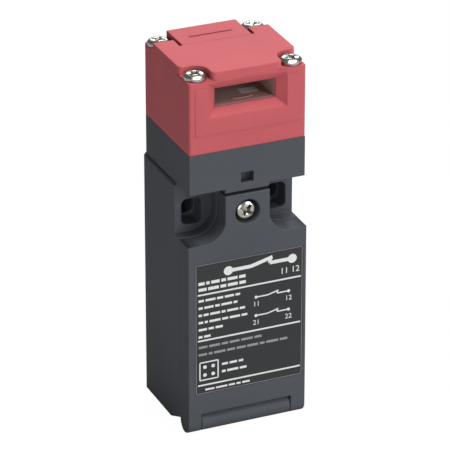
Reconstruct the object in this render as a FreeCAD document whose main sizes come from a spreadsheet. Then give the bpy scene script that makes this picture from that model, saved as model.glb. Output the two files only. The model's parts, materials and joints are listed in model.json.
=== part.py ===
"""Tongue interlock switch: a slim guard-door switch that a flat key opens and closes.

Millimetres. X is to the right, Y towards the mounting wall, Z up. The origin is under the
middle of the switch, on the plane of its flat bottom. The hinged cover faces -Y.
"""
import FreeCAD
import Part
import Sketcher
import math
import os
import re
from FreeCAD import Placement, Rotation, Vector

doc = FreeCAD.newDocument("tongue_interlock_switch")
sheet = doc.addObject("Spreadsheet::Sheet", "sizes")

# name: (value, what it sets)
SIZES = {
    "case_width": (31.0, "width of the case and its cover"),
    "case_depth": (28.5, "front of the cover to the mounting face"),
    "case_wall": (2.4, "wall of the wiring space"),
    "floor_height": (8.0, "height of the threaded conduit floor"),
    "shoulder_height": (51.2, "top of the wide part of the cover"),
    "neck_rise": (11.65, "top of the cover's narrow neck above the shoulder"),
    "neck_width": (11.5, "width of the cover's neck"),
    "rim_step": (0.2, "case proud of the cover along shoulder and neck"),
    "neck_arc": (5.5, "radius between shoulder and neck"),
    "recess_depth": (8.5, "front of the cover to the face round the mounting holes"),
    "roof_thickness": (3.4, "case material between the wiring space and the shoulder"),
    "ledge_rise": (13.4, "underside of the block that carries the head, above the shoulder"),
    "groove_height": (0.5, "shadow groove under that block"),
    "groove_inset": (0.6, "depth of the shadow groove"),
    "pad_height": (1.0, "pad under the block, over the cover's neck"),
    "head_inset_x": (0.5, "head and block set in from each side of the case"),
    "head_inset_y": (0.25, "head and block set in from the front and back of the case"),
    "collar_height": (10.4, "height of the block that carries the head"),
    "head_height": (18.4, "joint to the screw seats"),
    "crown_height": (2.0, "raised crown above the screw seats"),
    "rear_round": (1.4, "radius of the head's rear corners"),
    "front_round": (0.6, "radius of the head's front corners"),
    "hinge_radius": (2.65, "radius of the hinge barrel and cheeks"),
    "hinge_gap": (0.15, "clearance round the hinge"),
    "left_cheek": (3.4, "width of the left hinge cheek"),
    "right_cheek": (3.8, "width of the right hinge cheek"),
    "stub_radius": (1.1, "radius of the hinge stubs"),
    "stub_length": (2.0, "reach of a hinge stub into the barrel"),
    "running_fit": (0.05, "radial clearance of what turns or slides"),
    "heel_rise": (2.7, "rise of the case's lower side edge at the cheeks"),
    "heel_length": (6.2, "length of that rise, front to back"),
    "cover_wall": (2.0, "wall of the cover"),
    "gasket_width": (1.0, "width of the cover gasket"),
    "gasket_thickness": (1.2, "thickness of the cover gasket"),
    "label_left": (1.8, "margin left of the label field"),
    "label_right": (0.8, "margin right of the label field"),
    "label_below": (5.45, "margin below the label field"),
    "label_above": (5.0, "margin above the label field"),
    "label_recess": (0.25, "depth of the label field"),
    "lock_rise": (6.8, "cover screw above the shoulder"),
    "lock_recess_radius": (3.2, "radius of the recess round the cover screw"),
    "lock_recess_depth": (2.6, "depth of the recess round the cover screw"),
    "lock_head_radius": (2.45, "radius of the cover screw's head"),
    "lock_head_height": (2.0, "height of the cover screw's head"),
    "lock_shank_radius": (1.8, "radius of the cover screw's shank"),
    "lock_reach": (2.2, "engagement of the cover screw in its insert"),
    "lock_web": (1.4, "cover material under the cover screw's head"),
    "thread_gap": (0.25, "clearance of the cover screw in its insert"),
    "ring_radius": (2.7, "outer radius of the retaining ring"),
    "ring_gap": (0.45, "clearance round the retaining ring"),
    "ring_thickness": (0.6, "thickness of the retaining ring"),
    "ring_pocket": (2.0, "depth of the case pocket for the retaining ring"),
    "insert_radius": (2.8, "outer radius of the threaded insert"),
    "insert_margin": (1.95, "case material between the insert and the plunger"),
    "mount_spacing": (22.0, "distance between the mounting holes"),
    "mount_rise": (5.3, "mounting holes above the shoulder"),
    "mount_radius": (2.15, "radius of the mounting holes"),
    "mount_pocket_width": (5.2, "width of the oblong pocket at a mounting hole"),
    "mount_pocket_height": (6.7, "height of that pocket"),
    "mount_pocket_depth": (4.0, "depth of that pocket"),
    "mount_pocket_round": (1.4, "corner radius of that pocket"),
    "conduit_radius": (9.25, "radius of the conduit thread"),
    "conduit_shift": (0.65, "conduit centre in front of the middle of the case's floor"),
    "notch_width": (3.2, "width of the coding pocket on the block"),
    "notch_rise": (1.05, "coding pocket above the block's underside"),
    "notch_height": (2.7, "height of the coding pocket"),
    "notch_depth": (2.2, "depth of the coding pocket"),
    "funnel_width": (20.3, "outer width of the key funnel"),
    "funnel_height": (8.8, "outer height of the key funnel"),
    "funnel_depth": (2.0, "depth of the key funnel"),
    "slot_width": (15.3, "width of the key slot"),
    "slot_height": (4.5, "height of the key slot"),
    "panel_margin": (1.6, "front panel of the head from each side of the head"),
    "panel_rise": (4.7, "lower edge of the front panel above the head joint"),
    "panel_relief": (0.12, "thickness of the front panel"),
    "slot_rise": (13.2, "middle of the key slot above the head joint"),
    "slot_length": (21.0, "depth of the key slot from the head's front"),
    "guide_wall": (0.8, "wall of the key guide round the slot"),
    "guide_inset": (0.5, "end of the key guide in front of the closure's legs"),
    "seat_reach": (6.0, "reach of a screw seat in from each side of the crown"),
    "seat_radius": (3.3, "radius in the inner corner of a front screw seat"),
    "seat_lead": (1.3, "radius where a front screw seat opens through the head's wall"),
    "screw_inset_x": (2.75, "head screw from the side of the head"),
    "screw_inset_y": (2.9, "head screw from the front or back of the head"),
    "screw_radius": (1.5, "radius of the small screws"),
    "screw_hole_gap": (0.2, "clearance round a screw where it passes through"),
    "screw_head_radius": (2.7, "radius of a head screw's head"),
    "screw_head_height": (1.5, "height of a head screw's head"),
    "screw_reach": (9.0, "reach of a head screw below the head joint"),
    "closure_length": (10.0, "length of that closure, front to back"),
    "closure_gap": (0.06, "gap round the closure"),
    "leg_width": (1.0, "thickness of a closure leg"),
    "leg_length": (2.4, "length of a closure leg below the closure"),
    "leg_depth": (3.4, "front-to-back depth of a closure leg"),
    "leg_inset": (2.0, "closure leg behind the closure's front edge"),
    "slit_width": (0.7, "width of the slits beside the closure"),
    "slit_depth": (3.2, "depth of those slits below the seats"),
    "pry_length": (11.2, "length of the slit that lifts the closure"),
    "pry_width": (0.6, "width of that slit"),
    "pry_depth": (0.8, "depth of that slit"),
    "pry_inset": (5.7, "that slit in front of the closure's back edge"),
    "cam_inset": (9.4, "cam axis in front of the head's back"),
    "cam_rise": (7.6, "cam axis above the head joint"),
    "cam_radius": (6.0, "radius of the cam's key teeth"),
    "cam_thickness": (6.4, "thickness of the cam"),
    "cam_lobe": (5.5, "cam axis to the plunger with the key out"),
    "cam_angle": (55.0, "turn of the cam from key out to key in, in degrees"),
    "cam_room": (0.5, "clearance round the cam"),
    "cam_gap": (0.1, "gap between cam and plunger"),
    "cam_heel": (115.0, "end of the cam's round back, in degrees from the top"),
    "cam_lip": (0.8, "end of that round in front of the cam axis"),
    "cam_nose_reach": (1.2, "front of the lobe beyond the plunger's touching point"),
    "cam_nose_rise": (2.4, "that front above the touching point"),
    "tooth_depth": (3.4, "depth of the notch that the key catches"),
    "shaft_radius": (1.5, "radius of the cam shaft"),
    "shaft_overhang": (0.55, "cam shaft beyond each side of the key slot"),
    "travel": (2.5, "rise of the plunger as the key goes in"),
    "plunger_radius": (2.0, "radius of the plunger"),
    "seal_radius": (3.9, "outer radius of the plunger seal"),
    "seal_height": (1.8, "height of the plunger seal"),
    "seal_gap": (0.1, "gap between the seal's lip and the plunger"),
    "head_seal_width": (1.2, "width of the head gasket"),
    "head_seal_height": (0.9, "height of the head gasket"),
    "head_seal_gap": (0.15, "head gasket to the holes of the head screws"),
    "head_seal_inset": (1.4, "head gasket from the front and back of the head"),
    "block_gap": (0.4, "contact block from each side wall"),
    "block_depth": (17.05, "depth of the contact block"),
    "block_headroom": (0.8, "room above the contact block"),
    "block_tall": (26.0, "height of the contact block"),
    "block_floor": (1.2, "floor under the return spring"),
    "carrier_width": (6.4, "width of the contact carrier"),
    "carrier_depth": (5.8, "depth of the contact carrier"),
    "carrier_rise": (6.4, "underside of the contact carrier above the block's, key out"),
    "carrier_height": (17.2, "height of the contact carrier"),
    "slide_gap": (0.2, "clearance round the carrier and bridges"),
    "level_rise": (9.9, "underside of the lower bridge above the block's, key out"),
    "level_pitch": (8.0, "height between the two bridges"),
    "bridge_length": (14.0, "length of a contact bridge"),
    "bridge_width": (3.0, "width of a contact bridge"),
    "bridge_thickness": (0.8, "thickness of a contact bridge"),
    "window_depth": (2.3, "room for the bridge spring below a bridge"),
    "button_radius": (1.1, "radius of the contact buttons"),
    "button_height": (0.5, "height of the contact buttons"),
    "button_offset": (5.6, "contact buttons from the middle"),
    "contact_gap": (0.1, "gap left between the buttons, key in"),
    "strip_thickness": (1.0, "thickness of a terminal strip"),
    "strip_inner": (4.2, "inner end of a terminal strip from the middle"),
    "strip_width": (4.0, "width of a terminal strip"),
    "terminal_inset": (3.3, "terminal screws from the side of the contact block"),
    "plate_width": (5.6, "width and height of a terminal plate"),
    "plate_thickness": (0.8, "thickness of a terminal plate"),
    "clamp_width": (5.0, "width of a wire clamp"),
    "clamp_thickness": (0.9, "thickness of a wire clamp"),
    "terminal_head_radius": (2.3, "radius of a terminal screw's head"),
    "terminal_head_height": (1.6, "height of a terminal screw's head"),
    "terminal_reach": (5.5, "reach of a terminal screw into the block"),
    "fixing_rise": (3.4, "fixing screws above the contact block's underside"),
    "fixing_reach": (1.4, "reach of a fixing screw into the case"),
    "wire": (0.5, "spring wire diameter"),
    "return_radius": (2.0, "mean radius of the return spring"),
    "return_turns": (4.0, "turns of the return spring"),
    "bridge_spring_radius": (1.2, "mean radius of a bridge spring"),
    "bridge_spring_turns": (2.5, "turns of a bridge spring"),
}

# name: formula in the names above
DERIVED = {
    "front": "-case_depth / 2",
    "back": "case_depth / 2",
    "side": "case_width / 2",
    "cover_depth": "2 * hinge_radius",
    "rim": "front + cover_depth",
    "recess": "front + recess_depth",
    "hinge_y": "front + hinge_radius",
    "cover_base": "2 * hinge_radius + hinge_gap",
    "barrel_left": "-side + left_cheek + hinge_gap",
    "barrel_right": "side - right_cheek - hinge_gap",
    "neck": "neck_width / 2",
    "neck_height": "shoulder_height + neck_rise",
    "case_neck": "neck + rim_step",
    "case_shoulder": "shoulder_height + rim_step",
    "ledge_height": "shoulder_height + ledge_rise",
    "head_base": "ledge_height + collar_height",
    "lock_height": "shoulder_height + lock_rise",
    "mount_height": "shoulder_height + mount_rise",
    "label_bottom": "cover_base + label_below",
    "label_top": "shoulder_height - label_above",
    "head_side": "side - head_inset_x",
    "head_front": "front + head_inset_y",
    "head_back": "back - head_inset_y",
    "seat": "head_base + head_height",
    "crown": "seat + crown_height",
    "slot_z": "head_base + slot_rise",
    "slot_end": "head_front + slot_length",
    "throat": "head_front + funnel_depth",
    "screw_x": "head_side - screw_inset_x",
    "screw_y": "head_back - screw_inset_y",
    "cam_back": "head_back - cam_inset",
    "cam_z": "head_base + cam_rise",
    "cam_rate": "travel / (cam_angle * pi / 180)",
    "plunger_y": "cam_back - cam_rate",
    "plunger_top": "cam_z - cam_lobe - cam_gap",
    "wiring_top": "shoulder_height - roof_thickness",
    "wiring_back": "back - case_wall",
    "wiring_side": "side - case_wall",
    "conduit_back": "(rim + back) / 2 - conduit_shift",
    "head_seal_x": "screw_x - screw_radius - screw_hole_gap - head_seal_gap",
    "head_seal_y": "head_back - head_seal_inset",
    "block_width": "2 * (wiring_side - block_gap)",
    "block_back": "wiring_back",
    "block_front": "block_depth - block_back",
    "block_top": "wiring_top - block_headroom",
    "block_base": "block_top - block_tall",
    "carrier_base": "block_base + carrier_rise",
    "carrier_top": "carrier_base + carrier_height",
    "lower_level": "block_base + level_rise",
    "terminal_offset": "block_width / 2 - terminal_inset",
    "fixing_height": "block_base + fixing_rise",
    "lock_floor": "front + lock_recess_depth",
    "lock_back": "lock_floor + lock_web",
    "pocket_end": "rim + ring_pocket",
    "ring_front": "pocket_end - 1.5 * ring_thickness",
    "lock_tip": "pocket_end + lock_reach",
    "insert_length": "plunger_y - plunger_radius - insert_margin - pocket_end",
    "shaft_length": "slot_width + 2 * shaft_overhang",
    "crown_side": "head_side - seat_reach",
    "seat_line": "head_back - seat_reach",
    "closure_front": "head_back - closure_length",
    "leg_front": "closure_front + leg_inset",
    "guide_end": "leg_front - guide_inset",
    "fixed_rise": "bridge_thickness + 2 * button_height + travel + contact_gap",
}


def fill_sheet():
    """Write every size and formula to the sheet, each under its own alias."""
    row = 1
    for name, (value, note) in SIZES.items():
        sheet.set("A%d" % row, name)
        sheet.set("B%d" % row, str(value))
        sheet.set("C%d" % row, note)
        sheet.setAlias("B%d" % row, name)
        row += 1
    for name, formula in DERIVED.items():
        sheet.set("A%d" % row, name)
        sheet.set("B%d" % row, "=" + formula)
        sheet.setAlias("B%d" % row, name)
        row += 1
    doc.recompute()


fill_sheet()
NAMES = set(SIZES) | set(DERIVED)


def cell(text):
    """Turn size names in an expression into references to the sheet."""
    return re.sub(r"[a-z_]\w*", lambda m: "sizes." + m.group() if m.group() in NAMES else m.group(), text)


def value(text):
    """Work an expression of size names out as a number."""
    return float(sheet.evalExpression(cell(text).replace("sizes.", "")))


def bind(thing, path, text):
    """Tie one property to an expression of size names."""
    thing.setExpression(path, cell(text))


TURNS = {
    "z": Rotation(),
    "x": Rotation(Vector(0, 1, 0), 90),
    "y": Rotation(Vector(1, 0, 0), -90),
}
PLANES = {"z": "XY_Plane", "y": "XZ_Plane", "x": "YZ_Plane"}


class Piece:
    """One body of the switch, built feature by feature from named sizes."""

    def __init__(self, name):
        self.name = name
        self.body = doc.addObject("PartDesign::Body", name)
        self.body.Label = name
        self.body.AllowCompound = True

    def primitive(self, kind, cut, turn, corner):
        """Add a primitive at a bound corner or centre."""
        way = "Subtractive" if cut else "Additive"
        item = self.body.newObject("PartDesign::%s%s" % (way, kind), self.name + "_step")
        item.Placement = Placement(Vector(), TURNS[turn])
        for axis, text in zip("xyz", corner):
            bind(item, "Placement.Base." + axis, text)
        return item

    def box(self, x, y, z, cut=False):
        """A box between low and high expressions on each axis."""
        item = self.primitive("Box", cut, "z", (x[0], y[0], z[0]))
        for side, (low, high) in (("Length", x), ("Width", y), ("Height", z)):
            bind(item, side, "(%s) - (%s)" % (high, low))
        return item

    def rod(self, radius, axis, centre, span, cut=False):
        """A cylinder along an axis: centre holds the other two coordinates in order."""
        corner = list(centre)
        corner.insert("xyz".index(axis), span[0])
        item = self.primitive("Cylinder", cut, axis, corner)
        bind(item, "Radius", radius)
        bind(item, "Height", "(%s) - (%s)" % (span[1], span[0]))
        return item

    def sketch(self, axis, offset):
        """An empty sketch across an axis, moved along it by an expression."""
        item = self.body.newObject("Sketcher::SketchObject", self.name + "_sketch")
        origin = self.body.Origin.OriginFeatures
        plane = [part for part in origin if part.Role == PLANES[axis]][0]
        item.AttachmentSupport = [(plane, "")]
        item.MapMode = "FlatFace"
        bind(item, "AttachmentOffset.Base.z", "-(%s)" % offset if axis == "y" else offset)
        return item

    def outline(self, axis, offset, points):
        """A closed polygon whose corners are pairs of expressions."""
        item = self.sketch(axis, offset)
        spots = [Vector(value(a), value(b), 0) for a, b in points]
        for index, spot in enumerate(spots):
            item.addGeometry(Part.LineSegment(spot, spots[(index + 1) % len(spots)]), False)
        for index in range(len(spots)):
            item.addConstraint(Sketcher.Constraint("Coincident", index, 2, (index + 1) % len(spots), 1))
        for index, (a, b) in enumerate(points):
            for kind, text in (("DistanceX", a), ("DistanceY", b)):
                number = item.addConstraint(Sketcher.Constraint(kind, -1, 1, index, 1, value(text)))
                bind(item, "Constraints[%d]" % number, text)
        return item

    def prism(self, axis, points, span, cut=False):
        """A polygon pushed along an axis from one expression to another."""
        sketch = self.outline(axis, span[0], points)
        kind = "PartDesign::Pocket" if cut else "PartDesign::Pad"
        item = self.body.newObject(kind, self.name + "_prism")
        item.Profile = sketch
        item.Type = 0
        bind(item, "Length", "(%s) - (%s)" % (span[1], span[0]))
        item.Reversed = (axis == "y") != cut
        return item

    def funnel(self, axis, first, second, cut=True):
        """A loft between two outlines, each an (offset, points) pair."""
        near = self.outline(axis, *first)
        far = self.outline(axis, *second)
        way = "Subtractive" if cut else "Additive"
        item = self.body.newObject("PartDesign::%sLoft" % way, self.name + "_loft")
        item.Profile = near
        item.Sections = [far]
        item.Ruled = True
        return item

    def spring(self, radius, turns, centre, span):
        """A coil of round wire standing between two heights."""
        sketch = self.sketch("y", centre[1])
        start = Vector(value(centre[0]) + value(radius), value(span[0]) + value("wire") / 2, 0)
        sketch.addGeometry(Part.Circle(start, Vector(0, 0, 1), value("wire") / 2), False)
        rules = (
            (Sketcher.Constraint("Diameter", 0, value("wire")), "wire"),
            (Sketcher.Constraint("DistanceX", -1, 1, 0, 3, start.x), "(%s) + (%s)" % (centre[0], radius)),
            (Sketcher.Constraint("DistanceY", -1, 1, 0, 3, start.y), "(%s) + wire / 2" % span[0]),
        )
        for rule, text in rules:
            bind(sketch, "Constraints[%d]" % sketch.addConstraint(rule), text)
        item = self.body.newObject("PartDesign::AdditiveHelix", self.name + "_coil")
        item.Profile = sketch
        item.ReferenceAxis = (sketch, ["V_Axis"])
        item.Mode = "height-turns-angle"
        bind(item, "Height", "(%s) - (%s) - wire" % (span[1], span[0]))
        bind(item, "Turns", turns)
        return item

    def round(self, radius, chosen, kind="Fillet"):
        """Fillet or chamfer the edges that a test of two end points picks."""
        doc.recompute()
        tip = self.body.Tip
        names = []
        for index, edge in enumerate(tip.Shape.Edges):
            if len(edge.Vertexes) == 2 and chosen(edge.Vertexes[0].Point, edge.Vertexes[1].Point):
                names.append("Edge%d" % (index + 1))
        if not names:
            raise RuntimeError("no edge to round on " + self.name)
        item = self.body.newObject("PartDesign::" + kind, self.name + "_" + kind.lower())
        item.Base = (tip, names)
        bind(item, "Radius" if kind == "Fillet" else "Size", radius)
        return item


def upright(point, other):
    """True for an edge that runs along Z."""
    return abs(point.x - other.x) < 1e-4 and abs(point.y - other.y) < 1e-4


def level_y(point, other):
    """True for an edge that runs along Y."""
    return abs(point.x - other.x) < 1e-4 and abs(point.z - other.z) < 1e-4


def near(number, text):
    """True where a coordinate lies on an expression's value."""
    return abs(number - value(text)) < 1e-3


def mirrored(low, high):
    """The same span on the left and on the right of the middle."""
    return (("-(%s)" % high, "-(%s)" % low), (low, high))


def make_case():
    """Wiring case with its hinge barrel, mounting ears, neck and head block in one moulding."""
    piece = Piece("case")
    piece.box(("-head_side", "head_side"), ("head_front", "head_back"), ("ledge_height", "head_base"))
    piece.round("rear_round", lambda a, b: upright(a, b) and near(a.y, "head_back"))
    piece.box(("-neck", "neck"), ("head_front", "recess"), ("ledge_height - pad_height", "ledge_height"))
    piece.box(("-side", "side"), ("rim", "back"), ("0", "case_shoulder"))
    piece.box(("-case_neck", "case_neck"), ("rim", "back"), ("case_shoulder", "neck_height"))
    piece.round("neck_arc", lambda a, b: level_y(a, b) and near(abs(a.x), "case_neck")
                and near(a.z, "case_shoulder"))
    piece.box(("-side", "side"), ("recess", "back"), ("case_shoulder", "ledge_height"))
    piece.round("rear_round", lambda a, b: upright(a, b) and near(a.y, "back"))
    groove = ("ledge_height - groove_height", "ledge_height")
    for span in mirrored("side - groove_inset", "side"):
        piece.box(span, ("recess", "back"), groove, cut=True)
    piece.box(("-side", "side"), ("back - groove_inset", "back"), groove, cut=True)
    piece.box(("-wiring_side", "wiring_side"), ("rim", "wiring_back"), ("floor_height", "wiring_top"),
              cut=True)
    piece.box(("barrel_left", "barrel_right"), ("hinge_y", "rim"), ("0", "2 * hinge_radius"))
    piece.rod("hinge_radius", "x", ("hinge_y", "hinge_radius"), ("barrel_left", "barrel_right"))
    bore = "stub_radius + running_fit"
    depth = "stub_length + hinge_gap"
    for span in (("barrel_left", "barrel_left + " + depth), ("barrel_right - (%s)" % depth, "barrel_right")):
        piece.rod(bore, "x", ("hinge_y", "hinge_radius"), span, cut=True)
    heel = (("rim", "0"), ("rim", "heel_rise"), ("rim + heel_length", "0"))
    piece.prism("x", heel, ("-side", "barrel_left"), cut=True)
    piece.prism("x", heel, ("barrel_right", "side"), cut=True)
    piece.rod("conduit_radius", "z", ("0", "conduit_back"), ("0", "floor_height"), cut=True)
    for sign in ("-", ""):
        centre = sign + "mount_spacing / 2"
        piece.rod("mount_radius", "y", (centre, "mount_height"), ("recess", "back"), cut=True)
        mount_pocket(piece, centre)
    piece.rod("ring_radius + ring_gap", "y", ("0", "lock_height"), ("rim", "pocket_end"), cut=True)
    piece.rod("insert_radius", "y", ("0", "lock_height"), ("pocket_end", "pocket_end + insert_length"),
              cut=True)
    piece.rod("plunger_radius + running_fit", "z", ("0", "plunger_y"), ("wiring_top", "head_base"),
              cut=True)
    piece.rod("seal_radius", "z", ("0", "plunger_y"), ("head_base - seal_height", "head_base"), cut=True)
    piece.box(("-notch_width / 2", "notch_width / 2"), ("head_front", "head_front + notch_depth"),
              ("ledge_height + notch_rise", "ledge_height + notch_rise + notch_height"), cut=True)
    for x in ("-screw_x", "screw_x"):
        for y in ("-screw_y", "screw_y"):
            piece.rod("screw_radius", "z", (x, y), ("head_base - screw_reach", "head_base"), cut=True)
        fixing = x.replace("screw_x", "terminal_offset")
        piece.rod("screw_radius", "y", (fixing, "fixing_height"),
                  ("wiring_back", "wiring_back + fixing_reach"), cut=True)
    return piece.body


def mount_pocket(piece, centre):
    """Oblong pocket that lets the mounting screw's head shift up and down."""
    low = "%s - mount_pocket_width / 2" % centre
    high = "%s + mount_pocket_width / 2" % centre
    piece.box((low, high), ("recess", "recess + mount_pocket_depth"),
              ("mount_height - mount_pocket_height / 2", "mount_height + mount_pocket_height / 2"), cut=True)
    piece.round("mount_pocket_round", lambda a, b: level_y(a, b) and (near(a.x, low) or near(a.x, high))
                and near(abs(a.z - value("mount_height")), "mount_pocket_height / 2"))


def make_cover():
    """Hinged cover: a shallow tray with a neck, two hinge cheeks and a gasket step."""
    piece = Piece("cover")
    piece.box(("-side", "side"), ("front", "rim"), ("cover_base", "shoulder_height"))
    piece.box(("-neck", "neck"), ("front", "rim"), ("shoulder_height", "neck_height"))
    piece.round("neck_arc", lambda a, b: level_y(a, b) and near(abs(a.x), "neck")
                and near(a.z, "shoulder_height"))
    for span in (("-side", "-side + left_cheek"), ("side - right_cheek", "side")):
        piece.box(span, ("front", "rim"), ("hinge_radius", "cover_base"))
        piece.rod("hinge_radius", "x", ("hinge_y", "hinge_radius"), span)
    inner = "side - cover_wall"
    piece.box(("-(%s)" % inner, inner), ("front + cover_wall", "rim"),
              ("cover_base + cover_wall", "shoulder_height - cover_wall"), cut=True)
    piece.box(("-neck + cover_wall", "neck - cover_wall"), ("lock_back", "rim"),
              ("shoulder_height - cover_wall", "neck_height - cover_wall"), cut=True)
    step = "cover_wall - gasket_width"
    piece.box(("-side + " + step, "side - (%s)" % step), ("rim - gasket_thickness", "rim"),
              ("cover_base + " + step, "shoulder_height - (%s)" % step), cut=True)
    for start, end in (("-side + left_cheek", "barrel_left + stub_length"),
                       ("barrel_right - stub_length", "side - right_cheek")):
        piece.rod("stub_radius", "x", ("hinge_y", "hinge_radius"), (start, end))
    piece.rod("lock_recess_radius", "y", ("0", "lock_height"), ("front", "lock_floor"), cut=True)
    piece.rod("lock_shank_radius + screw_hole_gap", "y", ("0", "lock_height"),
              ("lock_floor", "lock_back"), cut=True)
    piece.box(("-side + label_left", "side - label_right"), ("front", "front + label_recess"),
              ("label_bottom", "label_top"), cut=True)
    return piece.body


def make_cover_gasket():
    """Flat rubber frame in the cover's step, closed against the rim of the case."""
    piece = Piece("cover_gasket")
    outer = "cover_wall - gasket_width"
    deep = ("rim - gasket_thickness", "rim")
    piece.box(("-side + " + outer, "side - (%s)" % outer), deep,
              ("cover_base + " + outer, "shoulder_height - (%s)" % outer))
    piece.box(("-side + cover_wall", "side - cover_wall"), deep,
              ("cover_base + cover_wall", "shoulder_height - cover_wall"), cut=True)
    return piece.body


def make_cover_screw():
    """Captive screw that holds the cover shut."""
    piece = Piece("cover_screw")
    place = ("0", "lock_height")
    piece.rod("lock_head_radius", "y", place, ("lock_floor - lock_head_height", "lock_floor"))
    piece.rod("lock_shank_radius", "y", place, ("lock_floor", "lock_tip"))
    return piece.body


def make_cover_screw_ring():
    """Retaining ring that keeps the screw in the cover."""
    piece = Piece("cover_screw_ring")
    deep = ("ring_front", "ring_front + ring_thickness")
    piece.rod("ring_radius", "y", ("0", "lock_height"), deep)
    piece.rod("lock_shank_radius", "y", ("0", "lock_height"), deep, cut=True)
    return piece.body


def make_cover_screw_insert():
    """Brass insert in the case that takes the cover screw."""
    piece = Piece("cover_screw_insert")
    deep = ("pocket_end", "pocket_end + insert_length")
    piece.rod("insert_radius", "y", ("0", "lock_height"), deep)
    piece.rod("lock_shank_radius + thread_gap", "y", ("0", "lock_height"), deep, cut=True)
    return piece.body


def seat_corners(piece):
    """Open the crown's corners down to the screw seats; the front ones have a round inner corner."""
    high = ("seat", "crown")
    for span in mirrored("crown_side", "head_side"):
        piece.box(span, ("head_front", "-seat_line"), high, cut=True)
    piece.round("seat_radius", lambda a, b: upright(a, b) and near(abs(a.x), "crown_side")
                and near(a.y, "-seat_line"))
    piece.round("seat_lead", lambda a, b: upright(a, b) and near(min(a.z, b.z), "seat")
                and (near(abs(a.x), "crown_side") or near(a.y, "-seat_line")) and a.y < 0
                and (near(a.y, "head_front") or near(abs(a.x), "head_side")))
    piece.box(("-head_side", "head_side"), ("seat_line", "head_back"), high, cut=True)


def rectangle(width, height, middle):
    """Corner expressions of a rectangle centred on X = 0 at a height."""
    low = "%s - %s / 2" % (middle, height)
    high = "%s + %s / 2" % (middle, height)
    left = "-%s / 2" % width
    right = "%s / 2" % width
    return ((left, low), (right, low), (right, high), (left, high))


def make_head_housing():
    """Operating head: key funnel and slot in front, cam chamber, and a crown with four seats."""
    piece = Piece("head_housing")
    piece.box(("-head_side", "head_side"), ("head_front", "head_back"), ("head_base", "crown"))
    piece.round("rear_round", lambda a, b: upright(a, b) and a.y > 0)
    piece.round("front_round", lambda a, b: upright(a, b) and a.y < 0)
    seat_corners(piece)
    for x_sign in ("-", ""):
        for y_sign in ("-", ""):
            piece.rod("screw_radius + screw_hole_gap", "z", (x_sign + "screw_x", y_sign + "screw_y"),
                      ("head_base", "seat"), cut=True)
    panel = "head_side - panel_margin"
    relief = ("head_front - panel_relief", "head_front")
    piece.box(("-(%s)" % panel, panel), relief, ("head_base + panel_rise", "seat - panel_margin"))
    piece.box(("-funnel_width / 2", "funnel_width / 2"), relief,
              ("slot_z - funnel_height / 2", "slot_z + funnel_height / 2"), cut=True)
    mouth = rectangle("funnel_width", "funnel_height", "slot_z")
    throat = rectangle("slot_width", "slot_height", "slot_z")
    piece.funnel("y", ("head_front", mouth), ("throat", throat))
    slot_box(piece, "slot_end", "0", cut=True)
    slot_box(piece, "guide_end", "guide_wall", cut=True)
    cam_chamber(piece)
    bearing = ("-shaft_length / 2 - running_fit", "shaft_length / 2 + running_fit")
    fit = "shaft_radius + running_fit"
    piece.rod(fit, "x", ("cam_back", "cam_z"), bearing, cut=True)
    piece.box(bearing, ("cam_back - (%s)" % fit, "cam_back + " + fit), ("head_base", "cam_z"), cut=True)
    frame_groove(piece, cut=True)
    closure_room(piece)
    return piece.body


def slot_box(piece, end, wall, cut):
    """The key slot from its throat to an end, widened by a wall all round."""
    piece.box(("-slot_width / 2 - " + wall, "slot_width / 2 + " + wall), ("throat", end),
              ("slot_z - slot_height / 2 - " + wall, "slot_z + slot_height / 2 + " + wall), cut=cut)


def cam_chamber(piece):
    """Room for the cam, open at the bottom."""
    room = "cam_radius + cam_room"
    wide = ("-cam_thickness / 2 - cam_room", "cam_thickness / 2 + cam_room")
    piece.rod(room, "x", ("cam_back", "cam_z"), wide, cut=True)
    piece.box(wide, ("cam_back - (%s)" % room, "cam_back + " + room), ("head_base", "cam_z"), cut=True)


def make_key_guide():
    """Dark sleeve that guides the key, open where the cam reaches in."""
    piece = Piece("key_guide")
    slot_box(piece, "guide_end", "guide_wall", cut=False)
    slot_box(piece, "guide_end", "0", cut=True)
    cam_chamber(piece)
    return piece.body


def frame_groove(piece, cut):
    """The head gasket's frame, as a groove in the head or as the gasket itself."""
    tall = ("head_base", "head_base + head_seal_height")
    inner_x = "head_seal_x - head_seal_width"
    inner_y = "head_seal_y - head_seal_width"
    for span in mirrored(inner_x, "head_seal_x"):
        piece.box(span, ("-head_seal_y", "head_seal_y"), tall, cut=cut)
    for span in mirrored(inner_y, "head_seal_y"):
        piece.box(("-head_seal_x", "head_seal_x"), span, tall, cut=cut)


def closure_room(piece):
    """Seat of the closure over the upper key slot, its side slits and a slot for each leg."""
    wide = "crown_side + slit_width"
    piece.box(("-(%s)" % wide, wide), ("closure_front", "seat_line"), ("seat", "crown"), cut=True)
    for span in mirrored("crown_side", wide):
        piece.box(span, ("closure_front", "seat_line"), ("seat - slit_depth", "seat"), cut=True)
    for span in mirrored("crown_side - leg_width - closure_gap", "crown_side + closure_gap"):
        piece.box(span, ("leg_front - closure_gap", "leg_front + leg_depth + closure_gap"),
                  ("seat - leg_length - closure_gap", "seat"), cut=True)


def make_head_cap():
    """Snap-in closure over the upper key slot, with two legs and a slit to lift it by."""
    piece = Piece("head_cap")
    piece.box(("-crown_side", "crown_side"), ("closure_front + closure_gap", "head_back"), ("seat", "crown"))
    for span in mirrored("crown_side - leg_width", "crown_side"):
        piece.box(span, ("leg_front", "leg_front + leg_depth"), ("seat - leg_length", "seat"))
    middle = "head_back - pry_inset"
    piece.box(("-pry_length / 2", "pry_length / 2"), (middle + " - pry_width / 2", middle + " + pry_width / 2"),
              ("crown - pry_depth", "crown"), cut=True)
    return piece.body


def make_head_gasket():
    """Rubber frame between the head and its block."""
    piece = Piece("head_gasket")
    frame_groove(piece, cut=False)
    return piece.body


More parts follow.
